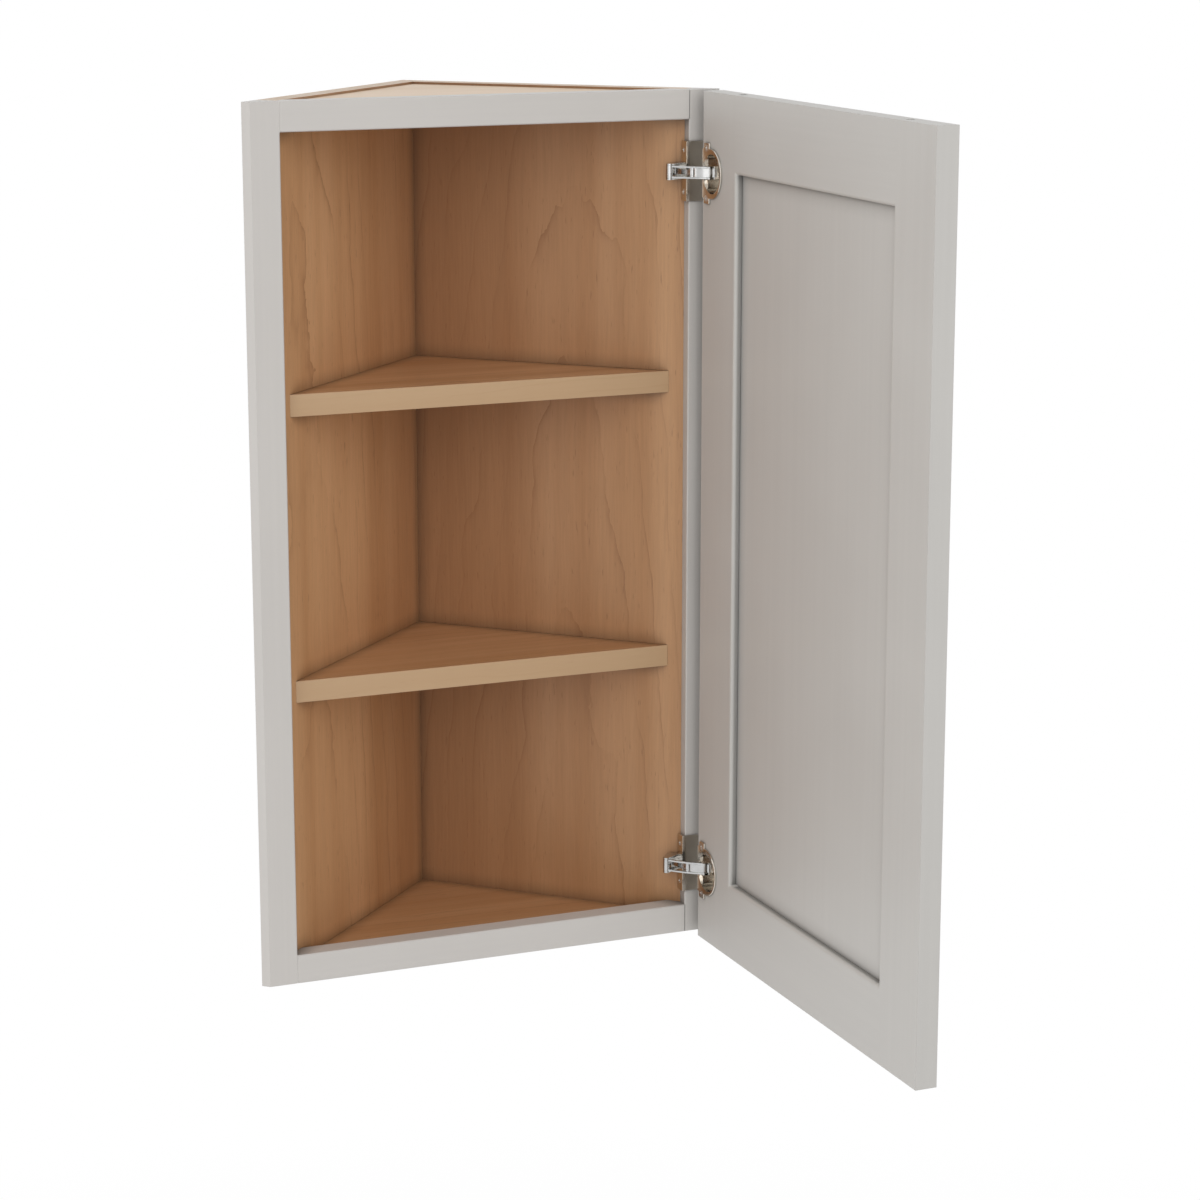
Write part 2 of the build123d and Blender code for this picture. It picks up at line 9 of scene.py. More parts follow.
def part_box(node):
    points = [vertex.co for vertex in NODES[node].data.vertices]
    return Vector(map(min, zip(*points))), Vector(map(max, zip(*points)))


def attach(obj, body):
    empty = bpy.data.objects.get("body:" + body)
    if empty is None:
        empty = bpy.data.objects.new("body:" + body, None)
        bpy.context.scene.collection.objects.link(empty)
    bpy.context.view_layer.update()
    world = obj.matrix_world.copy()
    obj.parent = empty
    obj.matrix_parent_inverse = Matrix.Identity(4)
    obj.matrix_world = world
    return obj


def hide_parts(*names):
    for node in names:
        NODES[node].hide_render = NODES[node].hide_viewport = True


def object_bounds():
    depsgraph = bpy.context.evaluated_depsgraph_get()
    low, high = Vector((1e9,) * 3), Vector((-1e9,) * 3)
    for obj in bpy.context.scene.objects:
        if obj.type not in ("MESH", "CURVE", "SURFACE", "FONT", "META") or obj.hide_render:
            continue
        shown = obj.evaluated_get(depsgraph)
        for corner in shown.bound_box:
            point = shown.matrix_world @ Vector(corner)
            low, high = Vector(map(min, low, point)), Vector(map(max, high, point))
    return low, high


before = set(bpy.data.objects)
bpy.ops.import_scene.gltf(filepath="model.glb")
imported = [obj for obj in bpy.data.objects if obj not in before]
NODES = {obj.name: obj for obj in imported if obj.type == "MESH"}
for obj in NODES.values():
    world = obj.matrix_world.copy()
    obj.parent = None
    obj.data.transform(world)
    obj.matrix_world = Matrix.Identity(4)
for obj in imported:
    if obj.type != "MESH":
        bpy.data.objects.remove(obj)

bl_info = {
    "name": "Wall End Cabinet",
    "version": (1, 0, 0),
    "blender": (4, 5, 0),
    "location": "3D View > Sidebar > Cabinet",
    "description": "Finishes and small fittings of a wall end cabinet with an open door",
    "category": "Object",
}

BOX_LOW, BOX_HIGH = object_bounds()
HINGES = ("upper", "lower")
FRAME_NODES = ("frame_left_stile", "frame_right_stile", "frame_top_rail", "frame_bottom_rail")
DOOR_NODES = ("door_hinge_stile", "door_lock_stile", "door_top_rail", "door_bottom_rail", "door_panel")

# Directions at rest: out of the two walls, up, and out of the face frame
HALF_ROOT = sqrt(2) / 2
OUT_LEFT = Vector((-HALF_ROOT, HALF_ROOT, 0))
OUT_RIGHT = Vector((HALF_ROOT, HALF_ROOT, 0))
UP = Vector((0, 0, 1))
FRONT = Vector((0, -1, 0))
QUARTER, EIGHTH = radians(90), radians(45)
WHITE = (1, 1, 1)

# Noises drawn out along the wood or the polish: waves to a metre across and along, detail, roughness
BRUSHING = (170.0, 2.5, 3.0, 0.6)
RING_DRIFT = (5.0, 1.1, 2.5, 0.5)
RING_RIPPLE = (30.0, 13.0, 4.0, 0.52)
RING_STRENGTH = (22.0, 6.0, 3.0, 0.5)
BANDS = (26.0, 0.9, 3.0, 0.55)
BLOTCHES = (3.5, 1.6, 2.0, 0.5)
FIBRES = (520.0, 21.0, 3.0, 0.6)
PORES = (700.0, 75.0, 1.0, 0.5)
HAIR_SCRATCHES = (2600.0, 90.0, 2.0, 0.5)

# Noises that are alike all ways: waves to a metre, detail
PAINT_CLOUD = (7.0, 2.0)
PAINT_PEEL = (1400.0, 2.0)
POLISH_SMEAR = (160.0, 3.0)

# Ramps: two values of the source, then what they become where that isn't 0 and 1
NOISE_BODY = (0.3, 0.7)
BAND_RAMP = (0.36, 0.66)
RING_RAMP = (0.42, 0.60, 0.05, 0.72)
PORE_RAMP = (0.68, 0.78, 0.0, 0.40)
KNOT_RAMP = (0.030, 0.012, 0.0, 0.7)
FIGURE_RANGE = (0.2, 0.42)
PLY_RAMP = (-0.3, 0.3)
FACING_RAMP = (0.6, 0.8)
EDGE_ON_RAMP = (0.4, 0.2)
LEVEL_RAMP = (0.6, 0.4)
FORWARD_RAMP = (-0.3, -0.1)
NARROW_RAMP = (0.95, 0.85)
ARRIS_RANGE = (0.995, 0.80)
OPEN_RANGE = (0.38, 0.99)

# The veneer's figure: the weight of the bands beside the blotches, how sharply a ring ends in its line, how
# much deeper the wood grows towards it, how far the fibres follow the ripple and how much their tone changes,
# how high the fibres and the lines stand, and how often knots come
BAND_WEIGHT = 0.65
RING_SHARPNESS = 16.0
RING_DEEPENING = 0.09
FLOW_SHARE = 0.5
FIBRE_CONTRAST = 0.055
FIBRE_RELIEF, LINE_RELIEF = 0.7, -0.3
KNOT_WAVES = (7.0, 7.0, 3.0)


def colour(name, description, value):
    return FloatVectorProperty(name=name, description=description, subtype="COLOR", size=3, min=0, max=1,
                               default=value)


def length(name, description, metres):
    return FloatProperty(name=name, description=description, unit="LENGTH", default=metres)


def share(name, description, value):
    return FloatProperty(name=name, description=description, subtype="FACTOR", min=0, max=1, default=value)


class CabinetPaint(bpy.types.PropertyGroup):
    """Colour and sheen of the painted face frame and door."""

    base: colour("Frame paint", "Warm grey paint of the face frame", (0.632, 0.604, 0.574))
    # The frame's grey, darker and cooler on the door: painted shade, and a cooler tint against the warm light
    # the maple throws on it
    door_shaded_paint: colour("Door paint", "The same grey on the door, a little cooler", (0.602, 0.586, 0.558))
    # Lighter paint on the arrises: partly rubbed paint, partly a painted highlight along every edge
    worn_highlight: colour("Edge", "Paint on the arrises, where it is rubbed", (0.66, 0.635, 0.61))
    # Painted light: lighter paint on the narrow faces of a filled joint, against the shade in its groove
    joint_groove_light: colour("Pooled paint", "Paint that has run together and fills a joint", (0.80, 0.775, 0.74))
    joint: colour("Joint line", "Hairline where a rail meets a stile", (0.30, 0.285, 0.27))
    roughness: share("Roughness", "Satin sheen of the paint", 0.42)
    streak: share("Brushing", "Strength of the faint streaks along the wood", 0.012)
    patch: share("Patchiness", "How much the paint lightens and darkens from place to place", 0.015)
    wear_highlight: share("Wear", "How far the rubbed colour shows on an edge", 0.35)
    hairline: share("Hairline", "How far the joint's colour shows in its hairline", 0.7)
    # Painted shade in the paint's corners and narrow gaps, from ambient occlusion: how dark, and its reach on
    # frame and door
    corner_shade: share("Dust", "How dark the corners are", 0.72)
    frame_shade_reach: length("Dust on the frame", "How far out of its corners the frame is darker", 0.019)
    door_shade_reach: length("Dust on the door", "How far out of its corners the door is darker", 0.015)
    edge_radius: length("Eased edge", "Radius of the highlight along every edge", 0.0006)
    joint_width: length("Joint width", "Width of the hairline at a joint", 0.00035)
    peel_height: length("Brush marks", "Height of the brush marks and the orange peel", 0.00003)


class CabinetMaple(bpy.types.PropertyGroup):
    """Colours and figure of the maple veneer."""

    light: colour("Light", "Pale summer wood under the clear finish", (0.52, 0.298, 0.152))
    deep: colour("Deep", "Darker wood between the rings", (0.40, 0.205, 0.091))
    # Painted shade: a darker, redder colour towards the back corner of the walls, named heartwood
    heart: colour("Heartwood", "Redder wood near the heart of the tree", (0.24, 0.105, 0.044))
    line: colour("Ring line", "Thin line at the edge of a ring", (0.27, 0.128, 0.056))
    fleck: colour("Fleck", "Short pores and pin knots", (0.17, 0.08, 0.04))
    raw: colour("Raw", "Unfinished veneer on the outside", (0.80, 0.605, 0.425))
    band: colour("Edge band", "Maple tape on the front edges of the shelves", (0.57, 0.388, 0.226))
    ply: colour("Cross ply", "End grain of every second ply", (0.42, 0.29, 0.19))
    ring_width: length("Ring width", "Distance from one ring line to the next", 0.0115)
    pith_depth: length("Pith depth", "How far behind the veneer the heart of the tree lies", 0.070)
    drift: length("Ring drift", "How far the rings wander in slow waves", 0.060)
    ripple: length("Ring ripple", "How far the rings wander in short waves", 0.0085)
    taper: share("Taper", "How much nearer the heart comes for each length of trunk", 0.045)
    ply_pair: length("Ply pair", "Thickness of two plies", 0.0054)
    roughness: share("Roughness", "Sheen of the clear finish", 0.40)
    # Painted shade in the veneer's corners and narrow gaps, from ambient occlusion: how dark, and its reach
    corner_shade: share("Dust", "How dark the corners are", 0.45)
    shade_reach: length("Dust reach", "How far out of its corners the wood is darker", 0.014)
    edge_radius: length("Eased edge", "Radius of the highlight along every edge", 0.0004)
    fibre_height: length("Fibre height", "Height of the raised fibres", 0.00006)


class CabinetMetal(bpy.types.PropertyGroup):
    """Plated and bare metals of the hinges, and the sizes of the screws."""

    nickel: colour("Nickel", "Warm nickel plate on the cups and frame wings", (0.66, 0.62, 0.56))
    bright: colour("Bright plate", "Whiter plate on the arms and links", (0.55, 0.55, 0.545))
    steel: colour("Steel", "Turned pins and rivets", (0.62, 0.61, 0.59))
    zinc: colour("Zinc", "Screws", (0.66, 0.65, 0.63))
    edge_radius: length("Eased edge", "Radius of the highlight along every edge", 0.0003)
    scratch_height: length("Scratches", "Height of the hair scratches", 0.00001)
    recess_reach: length("Recess reach", "From the centre of a screw head to the end of its cross", 0.0019)
    recess_width: length("Recess width", "Width of each arm of the cross", 0.0007)
    recess_depth: length("Recess depth", "Depth of the cross", 0.0009)
    head_segments: IntProperty(name="Head segments", description="Sides of a screw head, in twelves",
                               default=48, min=24)
    shank_share: share("Shank", "Radius of a wood screw's shank, beside its head's", 0.5)
    adjuster_head: length("Adjuster head", "Height of an adjusting screw's head", 0.0032)
    adjuster_ease: length("Adjuster rim", "How far the rim of an adjusting screw's head is eased", 0.0005)
    adjuster_shank: length("Adjuster shank", "Radius of an adjusting screw's shank", 0.002)


class CabinetStage(bpy.types.PropertyGroup):
    """Camera, lamps and floor."""

    camera_place: FloatVectorProperty(name="Camera", description="Where the camera stands",
                                      subtype="TRANSLATION", unit="LENGTH", default=(-0.982, -2.477, 0.950))
    camera_turn: FloatProperty(name="Turn", description="How far the camera looks to the right",
                               subtype="ANGLE", default=radians(22.74))
    camera_tilt: FloatProperty(name="Tilt", description="How far the camera looks down",
                               subtype="ANGLE", default=radians(12.72))
    lens: FloatProperty(name="Lens", description="Focal length in millimetres", unit="CAMERA", default=97.5)
    sky: share("Ambient", "Light from all round", 0.50)
    key: FloatProperty(name="Key", description="Power of the large lamp over the front", unit="POWER",
                       default=78)
    key_place: FloatVectorProperty(name="Key place", description="Where the large lamp hangs",
                                   subtype="TRANSLATION", unit="LENGTH", default=(-1.0, -3.3, 2.2))
    key_size: length("Key size", "Side of the large lamp", 4.4)
    fill: FloatProperty(name="Fill", description="Power of the lamp on the left", unit="POWER", default=30)
    fill_place: FloatVectorProperty(name="Fill place", description="Where the lamp on the left hangs",
                                    subtype="TRANSLATION", unit="LENGTH", default=(-2.9, 1.2, 1.0))
    fill_size: length("Fill size", "Side of the lamp on the left", 3.3)
    floor_drop: length("Hanging height", "How far under the cabinet the floor lies", 1.37)
    floor_reach: length("Floor reach", "From the middle of the floor to its sides", 12.0)
    floor: colour("Floor", "Pale floor", (0.86, 0.86, 0.86))
    near_glow: share("Near glow", "How white the floor is near the cabinet, beside the background", 0.9)
    haze_from: length("Haze from", "Where the floor begins to turn into the background", 1.6)
    haze_to: length("Haze to", "Where the floor is as white as the background", 3.4)


class Tree:
    """The nodes of a world or a material, with short calls to add them and join them."""

    def __init__(self, owner):
        owner.use_nodes = True
        self.tree = owner.node_tree
        self.tree.nodes.clear()

    def add(self, kind, inputs=None, **settings):
        """A new node with these settings. An input has a link or a constant, by its name or its number."""
        node = self.tree.nodes.new("ShaderNode" + kind)
        for key, value in settings.items():
            setattr(node, key, value)
        for key, value in (inputs or {}).items():
            self.put(node.inputs[key], value)
        return node

    def put(self, socket, value):
        if isinstance(value, bpy.types.NodeSocket):
            self.tree.links.new(value, socket)
        elif socket.type == "RGBA":
            socket.default_value = (*value, 1)
        else:
            socket.default_value = value

    def math(self, operation, first, second=0.0):
        return self.add("Math", {0: first, 1: second}, operation=operation).outputs[0]

    def vector(self, operation, first, second=(0, 0, 0)):
        node = self.add("VectorMath", {0: first, 1: second}, operation=operation)
        return node.outputs["Value" if operation in ("DOT_PRODUCT", "LENGTH") else "Vector"]

    def parts(self, source):
        """The X, Y and Z of a vector."""
        return self.add("SeparateXYZ", {0: source}).outputs

    def ramp(self, source, low, high, start=0.0, end=1.0):
        """A value that runs from start to end as the source runs from low to high."""
        inputs = {"Value": source, "From Min": low, "From Max": high, "To Min": start, "To Max": end}
        return self.add("MapRange", inputs, clamp=True).outputs[0]

    def spread(self, noise, start, end):
        """A value that runs from start to end over the part of its range that a noise mostly keeps to."""
        return self.ramp(noise, *NOISE_BODY, start, end)

    def weigh(self, first, weight, second):
        """The mean of two values, with a weight from 0 to 1 for the first."""
        weighed = self.math("MULTIPLY", first, weight)
        return self.math("ADD", weighed, self.math("MULTIPLY", second, 1 - weight))

    def blend_shaders(self, amount, first, second):
        return self.add("MixShader", {0: amount, 1: first, 2: second}).outputs[0]

    def seen_directly(self):
        """1 for rays from the camera, in mirrors and through glass, 0 for the light that falls on things."""
        path = self.add("LightPath").outputs
        mirrored = self.math("MAXIMUM", path["Is Camera Ray"], path["Is Glossy Ray"])
        return self.math("MAXIMUM", mirrored, path["Is Transmission Ray"])


class Material(Tree):
    """The node tree of one new material, laid out in the places of the piece at rest."""

    def __init__(self, name):
        self.material = bpy.data.materials.new(name)
        super().__init__(self.material)
        self.places = self.add("TexCoord").outputs["Object"]

    def stretch(self, source, scale, turn=(0, 0, 0), shift=(0, 0, 0)):
        inputs = {"Vector": source, "Scale": scale, "Rotation": turn, "Location": shift}
        return self.add("Mapping", inputs).outputs[0]

    def noise(self, kind):
        """A noise that is alike all ways, from 0 to 1."""
        waves, detail = kind
        inputs = {"Vector": self.places, "Scale": waves, "Detail": detail, "Roughness": 0.5}
        return self.add("TexNoise", inputs).outputs["Fac"]

    def grain(self, source, kind, axis="Z"):
        """A noise that is drawn out along an axis: its value, Fac, and three values, Color."""
        across, along, detail, roughness = kind
        scale = [across, across, across]
        scale["XYZ".index(axis)] = along
        stretched = self.stretch(source, scale)
        inputs = {"Vector": stretched, "Scale": 1.0, "Detail": detail, "Roughness": roughness}
        return self.add("TexNoise", inputs).outputs

    def mix(self, amount, first, second, blend="MIX"):
        node = self.add("Mix", data_type="RGBA", blend_type=blend, clamp_factor=True)
        for socket, value in ((node.inputs[0], amount), (node.inputs[6], first), (node.inputs[7], second)):
            self.put(socket, value)
        return node.outputs[2]

    def shade(self, paint, tone):
        """A colour multiplied by a tone."""
        grey = self.add("CombineColor", {0: tone, 1: tone, 2: tone}).outputs[0]
        return self.mix(1.0, paint, grey, "MULTIPLY")

    def looks(self, direction):
        """The cosine between a face of the piece at rest and a direction."""
        return self.vector("DOT_PRODUCT", self.add("TexCoord").outputs["Normal"], direction)

    def facing(self, direction):
        """1 on faces that look in a direction."""
        return self.ramp(self.looks(direction), *FACING_RAMP)

    def edge_on(self, direction):
        """1 on faces that look square to a direction, which are the edges of a sheet that looks along it."""
        return self.ramp(self.math("ABSOLUTE", self.looks(direction)), *EDGE_ON_RAMP)

    def painted_corner_shade(self, reach, depth):
        """Painted shade: 1 in the open, and down by depth in corners and narrow gaps, from ambient
        occlusion over the reach.
        """
        near = self.add("AmbientOcclusion", {"Distance": reach}, samples=8).outputs["AO"]
        return self.ramp(near, *OPEN_RANGE, 1.0 - depth, 1.0)

    def filled(self, joints, opening):
        """1 close to joints, each an axis and a place on it, where a rail lies under or over the opening."""
        half_width, fade, end_fade = 0.0049, 0.0003, 0.0012
        parts = self.parts(self.places)
        low, high = opening
        under = self.ramp(parts["Z"], low + end_fade, low)
        over = self.ramp(parts["Z"], high - end_fade, high)
        near = 0.0
        for axis, place in joints:
            away = self.math("ABSOLUTE", self.math("SUBTRACT", parts[axis], place))
            close = self.ramp(away, half_width + fade, half_width - fade)
            near = self.math("MAXIMUM", near, close)
        return self.math("MULTIPLY", near, self.math("MAXIMUM", under, over))

    def bevel(self, radius, samples):
        return self.add("Bevel", {"Radius": radius}, samples=samples).outputs[0]

    def bump(self, height, distance, strength, under):
        inputs = {"Height": height, "Distance": distance, "Strength": strength, "Normal": under}
        return self.add("Bump", inputs).outputs["Normal"]

    def surface(self, paint, roughness, normal, metallic=0.0):
        inputs = {"Base Color": paint, "Roughness": roughness, "Normal": normal, "Metallic": metallic}
        shader = self.add("BsdfPrincipled", inputs)
        self.add("OutputMaterial", {"Surface": shader.outputs[0]})
        return self.material


def finish_node(name, material):
    """Gives a node of the frame its material in every slot."""
    slots = NODES[name].data.materials
    if not slots:
        slots.append(material)
    for place in range(len(slots)):
        slots[place] = material


def level_and_light_joints(tree, props, paint, hidden, flat, front):
    """The paint, the mask of filled joints and their normal, for a piece whose joints lie in its front. Their
    narrow faces get lighter paint, painted light against the shade in the joint's groove, and lean to the
    front. Faces that look up, down or back are left out."""
    forward = tree.vector("DOT_PRODUCT", flat, front)
    upward = tree.math("ABSOLUTE", tree.parts(flat)["Z"])
    hidden = tree.math("MULTIPLY", hidden, tree.ramp(upward, *LEVEL_RAMP))
    hidden = tree.math("MULTIPLY", hidden, tree.ramp(forward, *FORWARD_RAMP))
    # Painted light on the narrow faces that the joint's groove would shade
    joint_groove_light = tree.math("MULTIPLY", hidden, tree.ramp(forward, *NARROW_RAMP))
    own_share = 0.8
    own = tree.vector("MULTIPLY", flat, (own_share, own_share, own_share))
    level = tree.vector("ADD", own, front)
    return tree.mix(joint_groove_light, paint, props.joint_groove_light), hidden, level


def painted(name, grain, props, base, reach, opening, filled, hairlines=(), front=None):
    """Satin paint over wood, brushed along the axis grain. The paint hides the filled joints under and over
    the opening, where front is given with lighter paint that is painted light against the joints' shade, and
    has a hairline at each of the hairlines, which are places on X. Painted shade darkens corners over its
    reach, and the edges are lighter, partly rubbed and partly a painted highlight. front is the side that
    all the joints lie in, where there is one."""
    tree = Material(name)
    streaks = tree.grain(tree.places, BRUSHING, grain)["Fac"]
    cloud = tree.noise(PAINT_CLOUD)
    patches = tree.spread(cloud, 1 - props.patch, 1 + props.patch)
    paint = tree.shade(base, tree.math("ADD", tree.spread(streaks, -props.streak, props.streak), patches))
    flat = tree.add("NewGeometry").outputs["Normal"]
    rounded = tree.bevel(props.edge_radius, samples=6)
    hidden, level = tree.filled(filled, opening), flat
    if front is not None:
        paint, hidden, level = level_and_light_joints(tree, props, paint, hidden, flat, front)
    soft = tree.add("Mix", {0: hidden, 4: rounded, 5: level}, data_type="VECTOR").outputs[1]
    # Lighter paint on every edge, where the rounded normal turns away: partly rubbed, partly a painted
    # highlight; not on filled joints
    edge = tree.ramp(tree.vector("DOT_PRODUCT", rounded, flat), *ARRIS_RANGE, 0.0, props.wear_highlight)
    paint = tree.mix(tree.math("MULTIPLY", edge, tree.math("SUBTRACT", 1.0, hidden)), paint, props.worn_highlight)
    # Painted shade: darker paint in corners and narrow gaps, from ambient occlusion, except in filled joints
    paint = tree.shade(paint, tree.math("MAXIMUM", hidden, tree.painted_corner_shade(reach, props.corner_shade)))
    for place in hairlines:
        away = tree.math("ABSOLUTE", tree.math("SUBTRACT", tree.parts(tree.places)["X"], place))
        line = tree.ramp(away, props.joint_width, props.joint_width / 2, 0.0, props.hairline)
        paint = tree.mix(line, paint, props.joint)
    streak_weight, smoother, rougher = 0.6, 0.04, 0.05
    relief = tree.weigh(streaks, streak_weight, tree.noise(PAINT_PEEL))
    normal = tree.bump(relief, props.peel_height, strength=0.3, under=soft)
    rough = tree.spread(cloud, props.roughness - smoother, props.roughness + rougher)
    return tree.surface(paint, rough, normal)


def bent(tree, wood, kind, reach):
    """An offset across the wood that follows a noise, at most half the reach each way."""
    centred = tree.vector("SUBTRACT", tree.grain(wood, kind)["Color"], (0.5, 0.5, 0.5))
    return tree.vector("MULTIPLY", centred, (reach, reach, 0))


def in_log(tree, props, wood, thickness_axis):
    """Where the wood lay in its tree, whose rings wander: how far through its ring a place is, from 0 to 1,
    how far across the sheet it is, and the places of its fibres, which follow the rings a little."""
    ripple = bent(tree, wood, RING_RIPPLE, props.ripple)
    drifted = tree.vector("ADD", wood, bent(tree, wood, RING_DRIFT, props.drift))
    log = tree.parts(tree.vector("ADD", drifted, ripple))
    wide = log[1 - thickness_axis]
    deep = tree.math("ADD", log[thickness_axis], tree.math("MULTIPLY", log["Z"], props.taper))
    square = tree.math("ADD", tree.math("MULTIPLY", deep, deep), tree.math("MULTIPLY", wide, wide))
    ring = tree.math("FRACT", tree.math("DIVIDE", tree.math("SQRT", square), props.ring_width))
    flow = tree.vector("ADD", wood, tree.vector("MULTIPLY", ripple, (FLOW_SHARE, FLOW_SHARE, 0)))
    return ring, wide, flow


def figured(tree, props, wood, flow, ring, late, bands):
    """The veneer's colour: bands, darker wood late in a ring, lines that come and go, pores and knots."""
    depth = tree.weigh(bands, BAND_WEIGHT, tree.grain(wood, BLOTCHES)["Fac"])
    veneer = tree.mix(tree.ramp(depth, *BAND_RAMP), props.light, props.deep)
    veneer = tree.mix(tree.math("MULTIPLY", ring, RING_DEEPENING), veneer, props.deep)
    strength = tree.ramp(tree.grain(wood, RING_STRENGTH)["Fac"], *RING_RAMP)
    veneer = tree.mix(tree.math("MULTIPLY", late, strength), veneer, props.line)
    pores = tree.ramp(tree.grain(flow, PORES)["Fac"], *PORE_RAMP)
    veneer = tree.mix(pores, veneer, props.fleck)
    spots = tree.add("TexVoronoi", {"Vector": tree.stretch(wood, KNOT_WAVES), "Scale": 1.0})
    knots = tree.ramp(spots.outputs["Distance"], *KNOT_RAMP)
    return tree.mix(knots, veneer, props.fleck)


def covered(tree, veneer, figure, face, plain, dark, strength):
    """The veneer with another wood on one face, which shows its figure with a strength from 0 to 1."""
    cover = tree.mix(tree.ramp(figure, *FIGURE_RANGE, strength, 0.0), plain, dark)
    return tree.mix(tree.facing(face), veneer, cover)


def with_plies(tree, props, veneer, thick, direction):
    """The veneer with the plies of the sheet on its edges."""
    layer = tree.math("SINE", tree.math("MULTIPLY", thick, 2 * pi / props.ply_pair))
    plies = tree.mix(tree.ramp(layer, *PLY_RAMP), props.raw, props.ply)
    return tree.mix(tree.edge_on(direction), veneer, plies)


def finished_faces(tree, props, veneer, thick, raw_face, band_face, ply_edges):
    """The veneer with its unfinished face, the tape on its front edge and the plies on its other edges."""
    figure = tree.add("RGBToBW", {0: veneer}).outputs[0]
    if raw_face is not None:
        veneer = covered(tree, veneer, figure, raw_face, props.raw, props.band, strength=0.35)
    if band_face is not None:
        veneer = covered(tree, veneer, figure, band_face, props.band, props.deep, strength=0.30)
    if ply_edges is not None:
        veneer = with_plies(tree, props, veneer, thick, ply_edges)
    return veneer


def maple(name, props, turn, shift, thickness_axis=1, sheet=1.0, heart=None, raw_face=None, band_face=None,
          ply_edges=None):
    """Maple veneer cut through a tree's rings. turn brings the grain to Z, shift places the heart of the
    tree, and sheet is how light the sheet is, a painted light that is set for each sheet. heart has the
    places across the sheet where a darker, redder colour begins to fade and is gone, and how dark it is: a
    painted shade that deepens towards the back corner of the walls. raw_face is unfinished, band_face has
    tape, and a sheet that looks along ply_edges shows its plies on its edges."""
    tree = Material(name)
    wood = tree.stretch(tree.places, (1, 1, 1), turn, shift)
    ring, wide, flow = in_log(tree, props, wood, thickness_axis)
    late = tree.math("POWER", ring, RING_SHARPNESS)
    bands, fibres = tree.grain(wood, BANDS)["Fac"], tree.grain(flow, FIBRES)["Fac"]
    veneer = figured(tree, props, wood, flow, ring, late, bands)
    # Painted shade: darker, redder wood towards the back corner, named heartwood
    if heart is not None:
        begin, end, strength = heart
        veneer = tree.mix(tree.ramp(wide, begin, end, strength, 0.0), veneer, props.heart)
    # Painted light: sheet lifts the whole sheet's tone, set for each sheet by how brightly it is lit
    tone = tree.spread(fibres, (1 - FIBRE_CONTRAST) * sheet, (1 + FIBRE_CONTRAST) * sheet)
    # Painted shade: darker veneer in corners and narrow gaps, from ambient occlusion
    veneer = tree.shade(veneer, tree.math("MULTIPLY", tone, tree.painted_corner_shade(props.shade_reach, props.corner_shade)))
    thick = tree.parts(wood)[thickness_axis]
    veneer = finished_faces(tree, props, veneer, thick, raw_face, band_face, ply_edges)
    raised, lowered = tree.math("MULTIPLY", fibres, FIBRE_RELIEF), tree.math("MULTIPLY", late, LINE_RELIEF)
    rounded = tree.bevel(props.edge_radius, samples=4)
    normal = tree.bump(tree.math("ADD", raised, lowered), props.fibre_height, strength=0.6, under=rounded)
    smoother, rougher = 0.05, 0.07
    rough = tree.spread(bands, props.roughness - smoother, props.roughness + rougher)
    return tree.surface(veneer, rough, normal)


def metal(name, props, base, roughness, polish_axis, scratches=0.4):
    """Bright metal with hair scratches along an axis and slightly uneven polish."""
    tree = Material(name)
    hairs = tree.grain(tree.places, HAIR_SCRATCHES, polish_axis)["Fac"]
    smear = tree.noise(POLISH_SMEAR)
    darkest, lightest = 0.94, 1.03
    smoothest, roughest = roughness * 0.75, roughness * 1.35
    plate = tree.shade(base, tree.spread(smear, darkest, lightest))
    rounded = tree.bevel(props.edge_radius, samples=4)
    normal = tree.bump(hairs, props.scratch_height, strength=scratches, under=rounded)
    return tree.surface(plate, tree.spread(smear, smoothest, roughest), normal, metallic=1.0)


def new_object(name, mesh):
    """A new object at the origin, with a finished mesh."""
    data = bpy.data.meshes.new(name)
    mesh.to_mesh(data)
    mesh.free()
    made = bpy.data.objects.new(name, data)
    bpy.context.scene.collection.objects.link(made)
    return made


def solid_corners(node):
    """The low and high corner of each separate solid of a node, sorted by height."""
    shell = bmesh.new()
    shell.from_mesh(NODES[node].data)
    bmesh.ops.remove_doubles(shell, verts=shell.verts, dist=1e-6)
    seen, corners = set(), []
    for start in shell.verts:
        if start in seen:
            continue
        stack, found = [start], []
        seen.add(start)
        while stack:
            vertex = stack.pop()
            found.append(vertex.co.copy())
            others = [edge.other_vert(vertex) for edge in vertex.link_edges]
            fresh = [other for other in others if other not in seen]
            seen.update(fresh)
            stack.extend(fresh)
        low = Vector([min(point[axis] for point in found) for axis in range(3)])
        high = Vector([max(point[axis] for point in found) for axis in range(3)])
        corners.append((low, high))
    shell.free()
    return sorted(corners, key=lambda pair: pair[0].z)


def verts_of(geometry):
    return [item for item in geometry if isinstance(item, bmesh.types.BMVert)]


def edges_of(geometry):
    return [item for item in geometry if isinstance(item, bmesh.types.BMEdge)]


def cross_rim(mesh, props):
    """The outline of a cross, cut into as many edges as the head has sides."""
    arm, tip = props.recess_width / 2, props.recess_reach
    corners = []
    for quarter in range(4):
        turn = Matrix.Rotation(quarter * QUARTER, 3, "Z")
        corners += [turn @ Vector((x, y, 0)) for x, y in ((arm, -tip), (arm, -arm), (tip, -arm))]
    rim = [mesh.verts.new(corner) for corner in corners]
    edges = [mesh.edges.new(pair) for pair in zip(rim, rim[1:] + rim[:1])]
    cuts = props.head_segments // len(rim) - 1
    split = bmesh.ops.subdivide_edges(mesh, edges=edges, cuts=cuts)["geom_split"]
    return list(dict.fromkeys(edges_of(split)))


